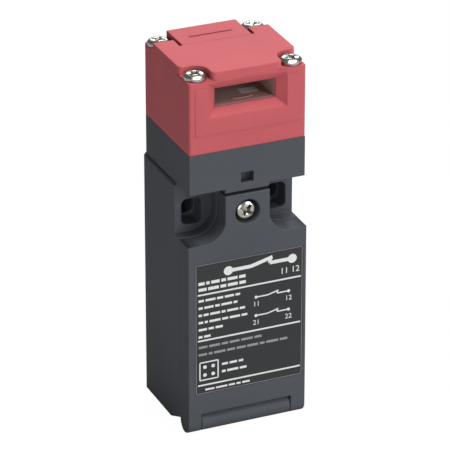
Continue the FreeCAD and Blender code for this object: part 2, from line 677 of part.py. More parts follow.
def make_head_screws():
    """Four pan head screws that hold the head down."""
    piece = Piece("head_screws")
    for x in ("-screw_x", "screw_x"):
        for y in ("-screw_y", "screw_y"):
            piece.rod("screw_head_radius", "z", (x, y), ("seat", "seat + screw_head_height"))
            piece.rod("screw_radius", "z", (x, y), ("head_base - screw_reach", "seat"))
    return piece.body


def cam_outline():
    """Cam section in the YZ plane, about the cam axis.

    The lobe is an involute, so that the flat top of the plunger rises by the same amount for
    each degree of turn and always touches at the same distance from the axis.
    """
    rate = value("cam_rate")
    lobe = value("cam_lobe")
    turn = math.radians(value("cam_angle"))
    radius = value("cam_radius")
    tooth = radius - value("tooth_depth")

    def touch(angle):
        height = lobe - rate * angle
        across = height * math.sin(angle) - rate * math.cos(angle)
        return Vector(0, across, -height * math.cos(angle) - rate * math.sin(angle))

    def rim_point(angle):
        return Vector(0, radius * math.sin(angle), radius * math.cos(angle))

    steps = 8
    curve = Part.BSplineCurve()
    curve.interpolate([touch(turn * index / steps) for index in range(steps + 1)])
    hub = lobe - rate * turn
    hub_end = Vector(0, hub * math.sin(turn), -hub * math.cos(turn))
    behind = math.radians(value("cam_heel"))
    lip = value("cam_lip")
    notch_top = Vector(0, -lip, math.sqrt(radius ** 2 - lip ** 2))
    notch_low = Vector(0, -math.sqrt(radius ** 2 - tooth ** 2), tooth)
    low_front = touch(0) + Vector(0, -value("cam_nose_reach"), value("cam_nose_rise"))
    edges = [
        curve.toShape(),
        Part.makeLine(touch(turn), hub_end),
        Part.makeLine(hub_end, rim_point(behind)),
        Part.Arc(rim_point(behind), rim_point(behind / 2), notch_top).toShape(),
        Part.makeLine(notch_top, Vector(0, notch_top.y, tooth)),
        Part.makeLine(Vector(0, notch_top.y, tooth), notch_low),
        Part.makeLine(notch_low, low_front),
        Part.makeLine(low_front, touch(0)),
    ]
    return Part.Wire(Part.__sortEdges__(edges))


def make_operating_cam():
    """Cam that the key turns: a notch on top, an involute lobe below."""
    wire = cam_outline()
    half = value("cam_thickness") / 2
    solid = Part.Face(wire).extrude(Vector(2 * half, 0, 0))
    solid.translate(Vector(-half, 0, 0))
    bore = Part.makeCylinder(value("shaft_radius + running_fit"), 2 * half, Vector(-half, 0, 0),
                             Vector(1, 0, 0))
    item = doc.addObject("Part::Feature", "operating_cam")
    item.Label = "operating_cam"
    item.Shape = solid.cut(bore)
    item.Placement = Placement(Vector(0, value("cam_back"), value("cam_z")), Rotation())
    return item


def make_cam_shaft():
    """Steel pin that the cam turns on."""
    piece = Piece("cam_shaft")
    piece.rod("shaft_radius", "x", ("cam_back", "cam_z"), ("-shaft_length / 2", "shaft_length / 2"))
    return piece.body


def make_plunger():
    """Round plunger from the cam down to the contact carrier."""
    piece = Piece("plunger")
    piece.rod("plunger_radius", "z", ("0", "plunger_y"), ("carrier_top", "plunger_top"))
    return piece.body


def make_plunger_seal():
    """Rubber ring round the plunger, under the head."""
    piece = Piece("plunger_seal")
    tall = ("head_base - seal_height", "head_base")
    piece.rod("seal_radius", "z", ("0", "plunger_y"), tall)
    piece.rod("plunger_radius + seal_gap", "z", ("0", "plunger_y"), tall, cut=True)
    return piece.body


def strip_boxes(level, sign):
    """Boxes of one terminal: a strip over the bridge, an arm to the front and a plate there."""
    low = "lower_level + %d * level_pitch + fixed_rise" % level
    tall = (low, low + " + strip_thickness")
    outer = "terminal_offset + strip_width / 2"
    arm = "terminal_offset - strip_width / 2"
    half = "plate_width / 2"
    strips = (
        (("strip_inner", outer), ("plunger_y - strip_width / 2", "plunger_y + strip_width / 2"), tall),
        ((arm, outer), ("-block_front", "plunger_y"), tall),
        (("terminal_offset - " + half, "terminal_offset + " + half),
         ("-block_front - plate_thickness", "-block_front"),
         (low + " + strip_thickness - plate_width", low + " + strip_thickness")),
    )
    for x, y, z in strips:
        yield (x if sign > 0 else ("-(%s)" % x[1], "-(%s)" % x[0])), y, z


def terminal_height(level):
    """Height of a terminal screw at one level."""
    return "lower_level + %d * level_pitch + fixed_rise + strip_thickness - plate_width / 2" % level


SIDES = ((-1, "-terminal_offset"), (1, "terminal_offset"))
LEVELS = (0, 1)


def make_contact_housing():
    """Contact block with a shaft for the carrier, a chamber for each bridge and strip slots."""
    piece = Piece("contact_housing")
    piece.box(("-block_width / 2", "block_width / 2"), ("-block_front", "block_back"),
              ("block_base", "block_top"))
    half_x = "carrier_width / 2 + slide_gap"
    half_y = "carrier_depth / 2 + slide_gap"
    piece.box(("-(%s)" % half_x, half_x), ("plunger_y - (%s)" % half_y, "plunger_y + " + half_y),
              ("block_base + block_floor", "block_top"), cut=True)
    reach = "bridge_length / 2 + slide_gap"
    half = "bridge_width / 2 + slide_gap"
    for level in LEVELS:
        base = "lower_level + %d * level_pitch" % level
        piece.box(("-(%s)" % reach, reach), ("plunger_y - (%s)" % half, "plunger_y + " + half),
                  (base + " - 2 * slide_gap", base + " + fixed_rise"), cut=True)
        for sign, offset in SIDES:
            for x, y, z in list(strip_boxes(level, sign))[:2]:
                piece.box(x, y, z, cut=True)
            piece.rod("screw_radius", "y", (offset, terminal_height(level)),
                      ("-block_front", "-block_front + terminal_reach"), cut=True)
    for sign, offset in SIDES:
        piece.rod("screw_radius", "y", (offset, "fixing_height"), ("-block_front", "block_back"), cut=True)
    return piece.body


def make_contact_carrier():
    """Sliding carrier with a window for each bridge and its spring."""
    piece = Piece("contact_carrier")
    half_x = "carrier_width / 2"
    half_y = "carrier_depth / 2"
    piece.box(("-" + half_x, half_x), ("plunger_y - " + half_y, "plunger_y + " + half_y),
              ("carrier_base", "carrier_top"))
    half = "bridge_width / 2"
    for level in LEVELS:
        base = "lower_level + %d * level_pitch" % level
        piece.box(("-" + half_x, half_x), ("plunger_y - " + half, "plunger_y + " + half),
                  (base + " - window_depth", base + " + bridge_thickness"), cut=True)
    return piece.body


def make_contact_bridges():
    """Two moving bridges, each joining a left and a right terminal."""
    piece = Piece("contact_bridges")
    for level in LEVELS:
        base = "lower_level + %d * level_pitch" % level
        piece.box(("-bridge_length / 2", "bridge_length / 2"),
                  ("plunger_y - bridge_width / 2", "plunger_y + bridge_width / 2"),
                  (base, base + " + bridge_thickness"))
    return piece.body


def make_buttons(name, rise):
    """Four silver contact buttons at one height above the undersides of the bridges."""
    piece = Piece(name)
    for level in LEVELS:
        base = "lower_level + %d * level_pitch + %s" % (level, rise)
        for sign in ("-", ""):
            piece.rod("button_radius", "z", (sign + "button_offset", "plunger_y"),
                      (base, base + " + button_height"))
    return piece.body


def make_bridge_springs():
    """Small spring under each bridge."""
    piece = Piece("bridge_springs")
    for level in LEVELS:
        base = "lower_level + %d * level_pitch" % level
        piece.spring("bridge_spring_radius", "bridge_spring_turns", ("0", "plunger_y"),
                     (base + " - window_depth", base))
    return piece.body


def make_return_spring():
    """Spring that lifts the carrier and the plunger."""
    piece = Piece("return_spring")
    piece.spring("return_radius", "return_turns", ("0", "plunger_y"),
                 ("block_base + block_floor", "carrier_base"))
    return piece.body


def make_terminals():
    """Four fixed terminals: strip, arm and front plate in one bent piece."""
    piece = Piece("terminals")
    for level in LEVELS:
        for sign, offset in SIDES:
            for x, y, z in strip_boxes(level, sign):
                piece.box(x, y, z)
            piece.rod("screw_radius", "y", (offset, terminal_height(level)),
                      ("-block_front - plate_thickness", "-block_front"), cut=True)
    return piece.body


def make_terminal_clamps():
    """Square wire clamp under each terminal screw."""
    piece = Piece("terminal_clamps")
    back = "-block_front - plate_thickness"
    deep = (back + " - clamp_thickness", back)
    for level in LEVELS:
        height = terminal_height(level)
        for sign, offset in SIDES:
            piece.box((offset + " - clamp_width / 2", offset + " + clamp_width / 2"), deep,
                      (height + " - clamp_width / 2", height + " + clamp_width / 2"))
            piece.rod("screw_radius", "y", (offset, height), deep, cut=True)
    return piece.body


def make_terminal_screws():
    """Screw of each terminal."""
    piece = Piece("terminal_screws")
    under = "-block_front - plate_thickness - clamp_thickness"
    for level in LEVELS:
        for sign, offset in SIDES:
            place = (offset, terminal_height(level))
            piece.rod("terminal_head_radius", "y", place, (under + " - terminal_head_height", under))
            piece.rod("screw_radius", "y", place, (under, "-block_front + terminal_reach"))
    return piece.body


def make_housing_screws():
    """Two screws that fix the contact block to the back of the case."""
    piece = Piece("housing_screws")
    for sign, offset in SIDES:
        place = (offset, "fixing_height")
        piece.rod("terminal_head_radius", "y", place,
                  ("-block_front - terminal_head_height", "-block_front"))
        piece.rod("screw_radius", "y", place, ("-block_front", "wiring_back + fixing_reach"))
    return piece.body


def main():
    """Build every piece, check it, and write each one to its own file."""
    pieces = [
        make_case(),
        make_cover(),
        make_cover_gasket(),
        make_cover_screw(),
        make_cover_screw_ring(),
        make_cover_screw_insert(),
        make_head_housing(),
        make_key_guide(),
        make_head_cap(),
        make_head_gasket(),
        make_head_screws(),
        make_operating_cam(),
        make_cam_shaft(),
        make_plunger(),
        make_plunger_seal(),
        make_contact_housing(),
        make_contact_carrier(),
        make_contact_bridges(),
        make_buttons("bridge_contacts", "bridge_thickness"),
        make_buttons("fixed_contacts", "fixed_rise - button_height"),
        make_bridge_springs(),
        make_return_spring(),
        make_terminals(),
        make_terminal_clamps(),
        make_terminal_screws(),
        make_housing_screws(),
    ]
    doc.recompute()
    for item in doc.Objects:
        if "Invalid" in item.State or "Error" in item.State:
            raise RuntimeError("failed feature: " + item.Name)
    os.makedirs("parts", exist_ok=True)
    for piece in pieces:
        shape = piece.Shape
        if shape.isNull() or not shape.isValid():
            raise RuntimeError("bad shape: " + piece.Label)
        shape.exportStep("parts/%s.step" % piece.Label)
        print("%-20s solids %2d volume %9.1f" % (piece.Label, len(shape.Solids), shape.Volume))


main()
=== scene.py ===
"""Dresses the tongue interlock switch: moulded shells, bright screws, label field and contact block."""
import json
import math

import bmesh
import bpy
from bpy.props import FloatProperty, FloatVectorProperty, IntProperty, PointerProperty
from mathutils import Euler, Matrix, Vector


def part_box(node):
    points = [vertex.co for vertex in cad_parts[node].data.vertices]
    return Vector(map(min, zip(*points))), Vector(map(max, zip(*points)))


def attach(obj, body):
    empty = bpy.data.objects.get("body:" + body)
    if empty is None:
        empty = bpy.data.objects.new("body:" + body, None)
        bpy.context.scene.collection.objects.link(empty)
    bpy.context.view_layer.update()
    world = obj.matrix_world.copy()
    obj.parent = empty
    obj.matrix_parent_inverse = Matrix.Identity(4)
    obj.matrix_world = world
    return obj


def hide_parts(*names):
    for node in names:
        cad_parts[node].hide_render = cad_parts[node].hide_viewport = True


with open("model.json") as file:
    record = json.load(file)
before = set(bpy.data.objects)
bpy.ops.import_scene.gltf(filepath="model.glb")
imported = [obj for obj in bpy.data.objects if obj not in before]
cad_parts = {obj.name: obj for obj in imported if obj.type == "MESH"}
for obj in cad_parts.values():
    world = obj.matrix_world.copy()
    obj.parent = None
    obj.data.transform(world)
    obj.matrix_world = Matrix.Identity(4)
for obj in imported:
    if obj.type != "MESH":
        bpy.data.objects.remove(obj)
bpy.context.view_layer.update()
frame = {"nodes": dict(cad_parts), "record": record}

bl_info = {
    "name": "Tongue interlock switch",
    "version": (1, 0, 0),
    "blender": (4, 5, 0),
    "location": "3D View > Sidebar > Switch",
    "description": "Builds the finish of a slim guard door switch with a key-operated head",
    "category": "Object",
}

MM = 0.001
TINY = 1e-6
WHITE = (1.0, 1.0, 1.0, 1.0)
CROSSHEAD_EDGE = 0.03 * MM
SHANK_RADIUS = 1.5 * MM
# name, place, width and height in metres, and the share of its light that matt surfaces get
LAMPS = (
    ("key", (0.12, -0.10, 0.75), (0.55, 0.45), 1.0),
    ("fill", (0.42, -0.62, 0.22), (0.35, 0.50), 1.0),
    ("side", (-0.35, -0.65, 0.10), (0.40, 0.40), 1.0),
    ("mirror", (0.40, 0.90, 0.50), (0.60, 0.34), 0.0),
)
LAMP_AIM = Vector((0, 0, 0.05))
BODY_OF = {
    node: body
    for body, nodes in frame["record"]["behaviour"]["bodies"].items()
    for node in nodes
}
SLOT_OF = {part["node"]: part["material_slot"] for part in frame["record"]["subparts"]}


# ---------------------------------------------------------------- settings


class SwitchColours(bpy.types.PropertyGroup):
    """Colours of the plastics, the print and the metals."""
    red: FloatVectorProperty(name="Head red", description="Moulded head and closure", subtype="COLOR",
                             size=3, default=(0.545, 0.115, 0.130))
    grey: FloatVectorProperty(name="Case grey", description="Case and cover", subtype="COLOR",
                              size=3, default=(0.083, 0.090, 0.103))
    label: FloatVectorProperty(name="Label ground", description="Field under the print",
                               subtype="COLOR", size=3, default=(0.045, 0.047, 0.050))
    # colour of the light line painted round the label field as its edge highlight
    rim: FloatVectorProperty(name="Label edge highlight", description="Line painted round the label field as its edge highlight",
                             subtype="COLOR", size=3, default=(0.30, 0.305, 0.31))
    print_white: FloatVectorProperty(name="Print", description="Rules, numbers and symbols",
                                     subtype="COLOR", size=3, default=(0.80, 0.80, 0.79))
    print_grey: FloatVectorProperty(name="Grey print", description="Weaker rules of the label",
                                    subtype="COLOR", size=3, default=(0.30, 0.30, 0.31))
    # a low rib whose pale pink colour is a painted highlight along its edges
    rib: FloatVectorProperty(name="Slot rib", description="Low rib on the key slot's floor, coloured pale as a painted highlight",
                             subtype="COLOR", size=3, default=(0.86, 0.40, 0.41))
    pale_patch: FloatVectorProperty(name="Pale patch", description="Pale patch on the key slot's floor",
                              subtype="COLOR", size=3, default=(0.66, 0.60, 0.58))
    nickel: FloatVectorProperty(name="Nickel", description="Bright plated screws", subtype="COLOR",
                                size=3, default=(0.64, 0.62, 0.57))
    steel: FloatVectorProperty(name="Steel", description="Springs, ring and shaft", subtype="COLOR",
                               size=3, default=(0.52, 0.52, 0.53))
    brass: FloatVectorProperty(name="Brass", description="Terminals and insert", subtype="COLOR",
                               size=3, default=(0.72, 0.52, 0.24))
    silver: FloatVectorProperty(name="Silver", description="Contact buttons", subtype="COLOR",
                                size=3, default=(0.84, 0.83, 0.80))
    rubber: FloatVectorProperty(name="Rubber", description="Gaskets and plunger seal",
                                subtype="COLOR", size=3, default=(0.022, 0.022, 0.024))
    white: FloatVectorProperty(name="White plastic", description="Plunger and carrier",
                               subtype="COLOR", size=3, default=(0.74, 0.72, 0.66))
    block: FloatVectorProperty(name="Contact block", description="Glass-filled block plastic",
                               subtype="COLOR", size=3, default=(0.060, 0.060, 0.063))
    cam: FloatVectorProperty(name="Cam", description="Operating cam", subtype="COLOR", size=3,
                             default=(0.17, 0.155, 0.15))
    guide: FloatVectorProperty(name="Key guide", description="Dark sleeve behind the key slot",
                               subtype="COLOR", size=3, default=(0.450, 0.300, 0.270))


class SwitchEdges(bpy.types.PropertyGroup):
    """Roundings of the moulded and stamped edges."""
    shell: FloatProperty(name="Shell edges", description="Rounding of case and cover edges",
                         default=0.35 * MM, unit="LENGTH")
    head: FloatProperty(name="Head edges", description="Rounding of the crown's top edges",
                        default=0.14 * MM, unit="LENGTH")
    fine: FloatProperty(name="Fine edges", description="Rounding of small inner parts",
                        default=0.10 * MM, unit="LENGTH")
    steps: IntProperty(name="Steps", description="Facets across a rounded edge", default=3)


class SwitchScrews(bpy.types.PropertyGroup):
    """Crosshead screws of the head and the cover."""
    recess: FloatProperty(name="Recess width", description="Tip to tip of the cross recess",
                          default=4.0 * MM, unit="LENGTH")
    wing: FloatProperty(name="Wing width", description="Width of one recess wing",
                        default=0.92 * MM, unit="LENGTH")
    depth: FloatProperty(name="Recess depth", description="Depth of the cross recess",
                         default=1.30 * MM, unit="LENGTH")
    around: IntProperty(name="Segments", description="Facets round a screw head", default=72)


class SwitchLabel(bpy.types.PropertyGroup):
    """Label field and its print."""
    rule: FloatProperty(name="Rule width", description="Thickness of the dividing rules",
                        default=0.42 * MM, unit="LENGTH")
    line: FloatProperty(name="Symbol line", description="Line width of the contact symbols",
                        default=0.26 * MM, unit="LENGTH")
    # width of the line painted round the label field as its edge highlight
    rim: FloatProperty(name="Edge highlight width", description="Width of the line painted as the field's edge highlight", default=0.35 * MM,
                       unit="LENGTH")
    digits: FloatProperty(name="Digit height", description="Size of the terminal numbers",
                          default=2.3 * MM, unit="LENGTH")
    ink: FloatProperty(name="Ink height", description="Thickness of the print", default=0.03 * MM,
                       unit="LENGTH")
    left: FloatProperty(name="Left margin", description="Cover edge to field", default=1.8 * MM,
                        unit="LENGTH")
    right: FloatProperty(name="Right margin", description="Field to cover edge", default=0.8 * MM,
                         unit="LENGTH")
    dash: FloatProperty(name="Dash height", description="Height of the segmented rules",
                        default=0.62 * MM, unit="LENGTH")


class SwitchStage(bpy.types.PropertyGroup):
    """Camera and light."""
    azimuth: FloatProperty(name="Azimuth", description="Camera direction round the switch",
                           default=math.radians(-23.39), subtype="ANGLE")
    elevation: FloatProperty(name="Elevation", description="Camera height above the horizon",
                             default=math.radians(25.92), subtype="ANGLE")
    distance: FloatProperty(name="Distance", description="Camera to the aim point",
                            default=838.3 * MM, unit="LENGTH")
    aim_x: FloatProperty(name="Aim X", description="Aim point, sideways", default=0.23 * MM,
                         unit="LENGTH")
    aim_z: FloatProperty(name="Aim Z", description="Aim point, height", default=48.06 * MM,
                         unit="LENGTH")
    lens: FloatProperty(name="Lens", description="Focal length in millimetres", default=276.0)
    key: FloatProperty(name="Key light", description="Power of the large lamp overhead", default=5.2)
    fill: FloatProperty(name="Fill light", description="Power of the right front lamp", default=2.7)
    side: FloatProperty(name="Side light", description="Power of the left front lamp", default=1.35)
    mirror: FloatProperty(name="Mirror light", description="Power of the lamp that only reflections see",
                          default=2.0)
    sky: FloatProperty(name="Sky", description="Strength of the even light from all round",
                       default=0.125)


# ---------------------------------------------------------------- shader helpers


def feed(tree, socket, content):
    """Link a wire to a socket, or set the socket's own value."""
    if isinstance(content, Wire):
        tree.links.new(content.socket, socket)
    else:
        socket.default_value = content


def make_node(tree, kind, settings=None, inputs=None, output=0):
    """Add any node: its settings first, then the values or links of its sockets."""
    made = tree.nodes.new(kind)
    for key, setting in (settings or {}).items():
        setattr(made, key, setting)
    for key, content in (inputs or {}).items():
        feed(tree, made.inputs[key], content)
    return Wire(tree, made.outputs[output])


class Wire:
    """A shader value that takes part in ordinary arithmetic."""

    def __init__(self, tree, socket):
        self.tree = tree
        self.socket = socket

    def _join(self, operation, other):
        return make_node(self.tree, "ShaderNodeMath", {"operation": operation}, {0: self, 1: other})

    def __add__(self, other):
        return self._join("ADD", other)

    def __mul__(self, other):
        return self._join("MULTIPLY", other)

    __radd__ = __add__

    def larger(self, other):
        """The larger of two values."""
        return self._join("MAXIMUM", other)


class Finish:
    """A material under construction."""

    def __init__(self, name):
        self.material = bpy.data.materials.new(name)
        self.material.use_nodes = True
        self.tree = self.material.node_tree
        self.shader = self.tree.nodes["Principled BSDF"]
        self.place = self.node("ShaderNodeTexCoord", output="Object")

    def node(self, kind, settings=None, inputs=None, output=0):
        """Add a node to this material."""
        return make_node(self.tree, kind, settings, inputs, output)

    def noise(self, scale, detail=2.0, roughness=0.5, where=None):
        """Noise in object space, about 0.5 on average."""
        return self.node("ShaderNodeTexNoise", None, {
            "Vector": where or self.place, "Scale": scale, "Detail": detail, "Roughness": roughness,
        })

    def stretched(self, scale):
        """Object coordinates scaled by a different amount on each axis."""
        return self.node("ShaderNodeMapping", None, {"Vector": self.place, "Scale": scale})

    def ramp(self, value, low, high):
        """0 below low, 1 above high, straight between."""
        return self.node("ShaderNodeMapRange", {"clamp": True}, {
            "Value": value, "From Min": low, "From Max": high, "To Min": 0.0, "To Max": 1.0,
        })

    def tint(self, colour, factor, dark, light):
        """Base colour that drifts between two brightnesses."""
        pair = [tuple(c * amount for c in colour) + (1.0,) for amount in (dark, light)]
        return self.node("ShaderNodeMix", {"data_type": "RGBA"}, {
            0: factor, 6: pair[0], 7: pair[1],
        }, output=2)

    def painted_crevice_shade(self, reach, depth):
        """Painted shade for base colours: 1 in the open, falling by depth where surfaces close in within
        reach.
        """
        openness = self.node("ShaderNodeAmbientOcclusion", {"samples": 8}, {"Distance": reach},
                             output=1)
        return self.ramp(openness, 0.15, 0.85) * depth + (1.0 - depth)

    def shaded(self, colour, amount):
        """A colour wire darkened by an amount between 0 and 1."""
        return self.node("ShaderNodeVectorMath", {"operation": "SCALE"}, {
            0: colour, "Scale": amount,
        })

    def soft_edge(self, radius):
        """A normal that turns gently across the edges."""
        return self.node("ShaderNodeBevel", {"samples": 6}, {"Radius": radius})

    def bump(self, height, distance, strength=1.0, under=None):
        """Surface relief; distance is the relief's full height in metres."""
        inputs = {"Height": height, "Distance": distance, "Strength": strength}
        if under:
            inputs["Normal"] = under
        return self.node("ShaderNodeBump", None, inputs)

    def set(self, **values):
        """Set the shader's sockets: underscores stand for spaces."""
        for key, content in values.items():
            name = key.replace("_", " ")
            if name == "Base Color" and not isinstance(content, Wire):
                content = tuple(content) + (1.0,)
            feed(self.tree, self.shader.inputs[name], content)
        return self.material


def moulded_plastic(name, colour, roughness, grain=0.010 * MM, edge=0.28 * MM, dark=0.15):
    """Spark-eroded mould finish: fine grain, faint flow clouds, soft shine, and painted shade that
    darkens the colour in crevices by the share dark.
    """
    finish = Finish(name)
    clouds = finish.noise(55.0, 3.0)
    speckle = finish.noise(2400.0, 2.0)
    pores = finish.noise(5200.0, 3.0, 0.6)
    drift = finish.ramp(clouds * 0.7 + speckle * 0.3, 0.35, 0.65)
    return finish.set(
        # base colour: random tone drift, darkened by painted shade in crevices
        Base_Color=finish.shaded(finish.tint(colour, drift, 0.955, 1.045),
                                 finish.painted_crevice_shade(3.5 * MM, dark)),
        Roughness=roughness - 0.05 + speckle * 0.10,
        Specular_IOR_Level=0.07,
        Normal=finish.bump(pores * 0.6 + speckle * 0.4, grain, 0.55, finish.soft_edge(edge)),
    )


def plated_metal(name, colour, roughness):
    """Bright plating with fine swirl marks and a slightly uneven shine; painted shade darkens the colour
    in recesses.
    """
    finish = Finish(name)
    smear = finish.noise(420.0, 3.0)
    hairs = finish.noise(900.0, 4.0, 0.65, finish.stretched((1.0, 5.0, 1.0)))
    return finish.set(
        # base colour darkened by painted shade in recesses such as the cross recess
        Base_Color=finish.shaded(finish.tint(colour, finish.ramp(smear, 0.3, 0.7), 0.93, 1.04),
                                 finish.painted_crevice_shade(1.1 * MM, 0.88)),
        Metallic=1.0,
        Roughness=roughness + finish.ramp(hairs, 0.35, 0.75) * 0.10 + smear * 0.05,
        Normal=finish.bump(hairs, 0.004 * MM, 0.5),
    )


def stamped_metal(name, colour, roughness):
    """Rolled strip with a directional grain and dull patches."""
    finish = Finish(name)
    roll = finish.noise(600.0, 4.0, 0.6, finish.stretched((1.0, 1.0, 7.0)))
    patch = finish.noise(260.0, 3.0)
    return finish.set(
        Base_Color=finish.tint(colour, finish.ramp(patch, 0.3, 0.7), 0.82, 1.05),
        Metallic=1.0,
        Roughness=roughness + finish.ramp(patch, 0.3, 0.8) * 0.18,
        Normal=finish.bump(roll, 0.006 * MM, 0.6),
    )


def seal_rubber(name, colour):
    """Matt rubber with a dusty bloom."""
    finish = Finish(name)
    bloom = finish.noise(480.0, 4.0, 0.6)
    skin = finish.noise(3000.0, 3.0)
    return finish.set(
        Base_Color=finish.tint(colour, finish.ramp(bloom, 0.35, 0.7), 0.8, 1.5),
        Roughness=0.72 + skin * 0.12,
        Specular_IOR_Level=0.3,
        Normal=finish.bump(skin, 0.012 * MM, 0.5),
    )


def printed_ink(name, colour):
    """Pad-printed ink: slightly uneven cover and edges."""
    finish = Finish(name)
    cover = finish.noise(2600.0, 3.0)
    return finish.set(
        Base_Color=finish.tint(colour, finish.ramp(cover, 0.25, 0.6), 0.90, 1.0),
        Roughness=0.5 + cover * 0.12,
        Normal=finish.bump(cover, 0.005 * MM, 0.5),
    )


MATERIALS = {}


def make_materials(colours):
    """Fill the table of finishes, one per record slot plus those of the label."""
    MATERIALS.update({
        # dark sets the share of painted shade in crevices: strongest on the red head, weakest on the
        # slot rib and the pale patch
        "red_plastic": moulded_plastic("red_moulding", colours.red, 0.50, edge=0.55 * MM, dark=0.50),
        "grey_plastic": moulded_plastic("grey_moulding", colours.grey, 0.52),
        "label_ground": moulded_plastic("label_ground", colours.label, 0.58, 0.006 * MM),
        "label_rim": moulded_plastic("label_rim", colours.rim, 0.45, 0.006 * MM),
        "print_white": printed_ink("white_print", colours.print_white),
        "nickel": plated_metal("bright_nickel", colours.nickel, 0.17),
        "spring_steel": stamped_metal("drawn_steel", colours.steel, 0.26),
        "brass": stamped_metal("stamped_brass", colours.brass, 0.28),
        "silver": plated_metal("contact_silver", colours.silver, 0.24),
        "rubber": seal_rubber("seal_rubber", colours.rubber),
        "white_plastic": moulded_plastic("white_moulding", colours.white, 0.42),
        "block_plastic": moulded_plastic("block_moulding", colours.block, 0.55, 0.014 * MM),
        "cam_plastic": moulded_plastic("cam_moulding", colours.cam, 0.46),
        "guide_plastic": moulded_plastic("guide_moulding", colours.guide, 0.50, dark=0.25),
        "worn_patch": moulded_plastic("worn_patch", colours.pale_patch, 0.38, dark=0.1),
        "slot_rib": moulded_plastic("slot_rib", colours.rib, 0.45, dark=0.1),
        "print_grey": printed_ink("grey_print", colours.print_grey),
    })


# ---------------------------------------------------------------- modelling helpers


def select_none():
    """Clear the selection, so that nothing else is touched."""
    for other in bpy.context.selected_objects:
        other.select_set(False)


def select_only(*objects):
    """Select these objects alone; the first becomes active."""
    select_none()
    for item in objects:
        item.select_set(True)
    bpy.context.view_layer.objects.active = objects[0]


def edit_mesh(obj, work):
    """Run work(bmesh) on a mesh object in edit mode."""
    select_only(obj)
    bpy.ops.object.mode_set(mode="EDIT")
    mesh = bmesh.from_edit_mesh(obj.data)
    work(mesh)
    bmesh.update_edit_mesh(obj.data)
    bpy.ops.object.mode_set(mode="OBJECT")


def pick_faces(obj, chosen):
    """Select, in edit mode, the faces whose centre and normal pass a test, and nothing else."""
    bpy.ops.mesh.select_mode(type="FACE")
    mesh = bmesh.from_edit_mesh(obj.data)
    for face in mesh.faces:
        face.select_set(False)
    for face in mesh.faces:
        if chosen(face.calc_center_median(), face.normal):
            face.select_set(True)
    mesh.select_flush_mode()
    bmesh.update_edit_mesh(obj.data)


def apply_modifier(obj, name):
    """Bake one modifier into the mesh."""
    select_only(obj)
    bpy.ops.object.modifier_apply(modifier=name)


def smooth(obj, angle=38.0):
    """Smooth shading with sharp creases kept."""
    select_only(obj)
    bpy.ops.object.shade_smooth_by_angle(angle=math.radians(angle))


def settle(obj):
    """Apply the object's transform, so that its place is in its mesh."""
    select_only(obj)
    bpy.ops.object.transform_apply(location=True, rotation=True, scale=True)


def join(name, objects):
    """Join mesh objects into one piece."""
    select_only(*objects)
    bpy.ops.object.join()
    objects[0].name = name
    objects[0].data.name = name
    return objects[0]


def seat_piece(obj, material, body, nodes=()):
    """Give a finished piece its material, its body and the nodes it stands for."""
    obj.data.materials.clear()
    obj.data.materials.append(MATERIALS[material])
    if nodes:
        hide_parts(*nodes)
    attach(obj, body)
    return obj


def clean_copy(node, name):
    """A merged copy of a CAD node with its flat faces joined up again."""
    obj = bpy.data.objects.new(name, frame["nodes"][node].data.copy())
    bpy.context.collection.objects.link(obj)
    obj.data.materials.clear()
    select_only(obj)
    bpy.ops.object.mode_set(mode="EDIT")
    bpy.ops.mesh.select_all(action="SELECT")
    bpy.ops.mesh.remove_doubles(threshold=0.002 * MM)
    bpy.ops.mesh.dissolve_limited(angle_limit=math.radians(0.6))
    bpy.ops.object.mode_set(mode="OBJECT")
    return obj


def split_rings(sides=6):
    """In edit mode, split flat faces with many sides, which may run round a hole."""
    bpy.ops.mesh.select_mode(type="FACE")
    bpy.ops.mesh.select_all(action="DESELECT")
    bpy.ops.mesh.select_face_by_sides(number=sides, type="GREATER")
    bpy.ops.mesh.quads_convert_to_tris(quad_method="BEAUTY", ngon_method="BEAUTY")


def face_depth(face, edge):
    """How far a face reaches from one of its edges."""
    start = edge.verts[0].co
    along = (edge.verts[1].co - start).normalized()
    return max((vert.co - start).cross(along).length for vert in face.verts)


def soften(obj, width, steps, chosen=None, angle=50.0):
    """Round the sharp edges that a test picks or gives a share of the width, all by default."""
    limit = math.radians(angle)
    least_room = 2.6

    def mark(mesh):
        weight = mesh.edges.layers.float.get("bevel_weight_edge")
        weight = weight or mesh.edges.layers.float.new("bevel_weight_edge")
        for edge in mesh.edges:
            if len(edge.link_faces) != 2 or edge.calc_face_angle(0.0) < limit:
                continue
            middle = (edge.verts[0].co + edge.verts[1].co) / 2
            share = 1.0 if chosen is None else float(chosen(middle, edge))
            room = min(face_depth(face, edge) for face in edge.link_faces)
            edge[weight] = share if room > least_room * width * share else 0.0

    edit_mesh(obj, mark)
    select_only(obj)
    bpy.ops.object.mode_set(mode="EDIT")
    split_rings()
    bpy.ops.object.mode_set(mode="OBJECT")
    bevel = obj.modifiers.new("rounding", "BEVEL")
    bevel.limit_method = "WEIGHT"
    bevel.width = width
    bevel.segments = steps
    bevel.use_clamp_overlap = False
    bevel.loop_slide = False
    apply_modifier(obj, bevel.name)
    smooth(obj)
    flat = obj.modifiers.new("flat_faces", "WEIGHTED_NORMAL")
    flat.keep_sharp = True
    apply_modifier(obj, flat.name)
    return obj


def softened_node(node, name, width, steps, chosen=None):
    """A rounded copy of a CAD node that stands for it."""
    obj = soften(clean_copy(node, name), width, steps, chosen)
    slot = SLOT_OF[node]
    return seat_piece(obj, slot, BODY_OF[node], (node,))


# ---------------------------------------------------------------- pieces


def rounded_at_rear(point, low, high, reach=1.3 * MM):
    """Whether a point lies at the rear upright edges, which the shell already rounds."""
    return min(point.x - low.x, high.x - point.x) < reach and high.y - point.y < reach


